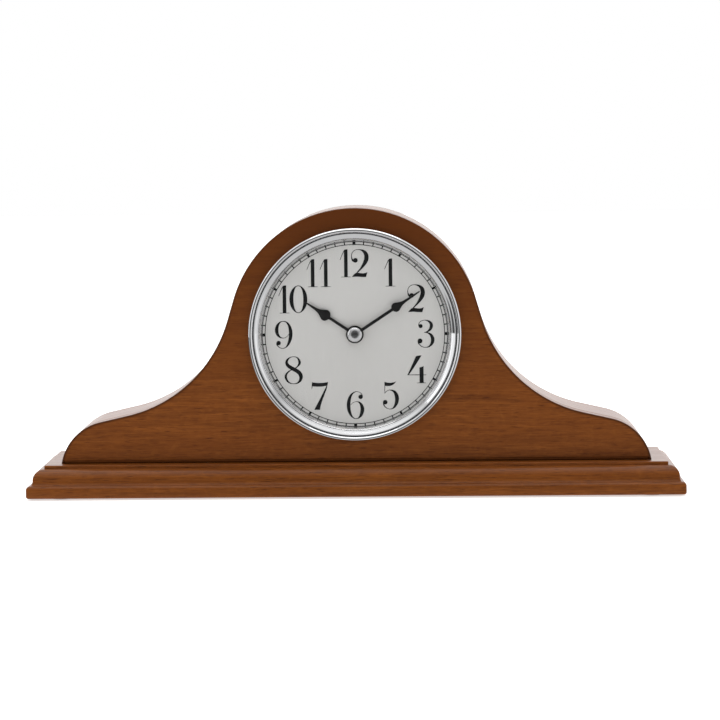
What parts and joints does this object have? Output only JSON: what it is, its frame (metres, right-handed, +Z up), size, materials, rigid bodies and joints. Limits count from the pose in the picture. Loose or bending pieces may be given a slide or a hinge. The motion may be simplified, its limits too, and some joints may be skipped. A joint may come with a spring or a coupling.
{
  "type": "mantel clock",
  "caption": "Bow-topped wooden mantel clock on a moulded plinth, with a round glazed dial, two hands, a quartz movement and a hinged back door.",
  "frame": {"origin": "middle of the footprint, on the plane that the four felt pads stand on", "axes": "+X to the right of someone facing the dial, the dial faces -Y, +Z up"},
  "size_m": [0.43, 0.1, 0.1883],
  "materials": {
    "stained_wood": "stained and lacquered, satin gloss",
    "plain_wood": "bare pine",
    "polished_metal": "polished plated steel",
    "brass": "satin brass",
    "steel": "plain steel",
    "silver_dial": "satin silver, printed",
    "clear_glass": "clear domed glass",
    "black_lacquer": "black enamel on thin sheet",
    "black_plastic": "moulded, fine texture",
    "white_plastic": "moulded acetal",
    "green_board": "solder-masked laminate",
    "copper": "enamelled copper wire",
    "black_felt": "dark green-black felt",
    "rubber": "black rubber",
    "battery_foil": "plain dark wrapper"
  },
  "bodies": {
    "case": {"base_plinth": "stained_wood", "front_panel": "stained_wood", "case_skin": "stained_wood", "back_panel": "stained_wood", "glue_block_left": "plain_wood", "glue_block_right": "plain_wood", "base_screw_left": "steel", "base_screw_right": "steel", "felt_pad_front_left": "black_felt", "felt_pad_rear_left": "black_felt", "felt_pad_front_right": "black_felt", "felt_pad_rear_right": "black_felt", "door_magnet_catch": "black_plastic", "hinge_jamb_leaf_lower": "brass", "hinge_jamb_leaf_upper": "brass", "hinge_pin_lower": "steel", "hinge_pin_upper": "steel", "hinge_jamb_screw_lower": "brass", "hinge_jamb_screw_upper": "brass", "bezel_ring": "polished_metal", "dial_glass": "clear_glass", "reflector_ring": "polished_metal", "dial_plate": "silver_dial", "dial_cup": "steel", "bezel_clip_1": "steel", "bezel_clip_2": "steel", "bezel_clip_3": "steel", "threaded_bush": "brass", "rubber_washer": "rubber", "hex_nut": "brass", "movement_front_housing": "black_plastic", "movement_rear_housing": "black_plastic", "train_plate": "white_plastic", "stator": "steel", "coil": "copper", "circuit_board": "green_board", "quartz_crystal": "steel", "battery": "battery_foil", "battery_contact_negative": "steel", "battery_contact_positive": "steel"},
    "door": {"back_door": "stained_wood", "door_knob": "brass", "door_strike_plate": "steel", "hinge_door_leaf_lower": "brass", "hinge_door_leaf_upper": "brass", "hinge_door_screw_lower": "brass", "hinge_door_screw_upper": "brass"},
    "minute_train": {"minute_arbor": "brass", "minute_hand": "black_lacquer", "hand_nut": "polished_metal"},
    "hour_train": {"hour_wheel": "white_plastic", "hour_hand": "black_lacquer"},
    "motion_train": {"motion_wheel": "white_plastic", "setting_knob": "black_plastic"},
    "centre_wheel_body": {"centre_wheel": "white_plastic"},
    "third_wheel_body": {"third_wheel": "white_plastic"},
    "seconds_wheel_body": {"seconds_wheel": "white_plastic"},
    "intermediate_wheel_body": {"intermediate_wheel": "white_plastic"},
    "rotor_body": {"rotor": "steel"}
  },
  "joints": [
    {"name": "door_hinge", "type": "hinge", "parent": "case", "child": "door", "pos_m": [-0.05, 0.0473, 0.101], "axis": [0, 0, 1], "range_deg": [0, 110]},
    {"name": "minute_hand_turn", "type": "hinge", "parent": "case", "child": "minute_train", "pos_m": [0, 0, 0.1055], "axis": [0, 1, 0], "continuous": true},
    {"name": "hour_hand_turn", "type": "hinge", "parent": "case", "child": "hour_train", "pos_m": [0, 0, 0.1055], "axis": [0, 1, 0], "continuous": true},
    {"name": "motion_wheel_turn", "type": "hinge", "parent": "case", "child": "motion_train", "pos_m": [-0.00679, 0, 0.09871], "axis": [0, 1, 0], "continuous": true},
    {"name": "rotor_turn", "type": "hinge", "parent": "case", "child": "rotor_body", "pos_m": [0.01464, 0, 0.1055], "axis": [0, 1, 0], "continuous": true},
    {"name": "intermediate_wheel_turn", "type": "hinge", "parent": "case", "child": "intermediate_wheel_body", "pos_m": [0.00924, 0, 0.1055], "axis": [0, 1, 0], "continuous": true},
    {"name": "seconds_wheel_turn", "type": "hinge", "parent": "case", "child": "seconds_wheel_body", "pos_m": [0, 0, 0.1055], "axis": [0, 1, 0], "continuous": true},
    {"name": "third_wheel_turn", "type": "hinge", "parent": "case", "child": "third_wheel_body", "pos_m": [0, 0, 0.1145], "axis": [0, 1, 0], "continuous": true},
    {"name": "centre_wheel_turn", "type": "hinge", "parent": "case", "child": "centre_wheel_body", "pos_m": [0, 0, 0.1055], "axis": [0, 1, 0], "continuous": true}
  ],
  "couplings": [
    {"joint": "hour_hand_turn", "follows": "minute_hand_turn", "ratio": 0.083333},
    {"joint": "motion_wheel_turn", "follows": "minute_hand_turn", "ratio": -0.33333},
    {"joint": "intermediate_wheel_turn", "follows": "rotor_turn", "ratio": -0.2},
    {"joint": "seconds_wheel_turn", "follows": "rotor_turn", "ratio": 0.033333},
    {"joint": "third_wheel_turn", "follows": "rotor_turn", "ratio": -0.0041667},
    {"joint": "centre_wheel_turn", "follows": "rotor_turn", "ratio": 0.00055556}
  ]
}
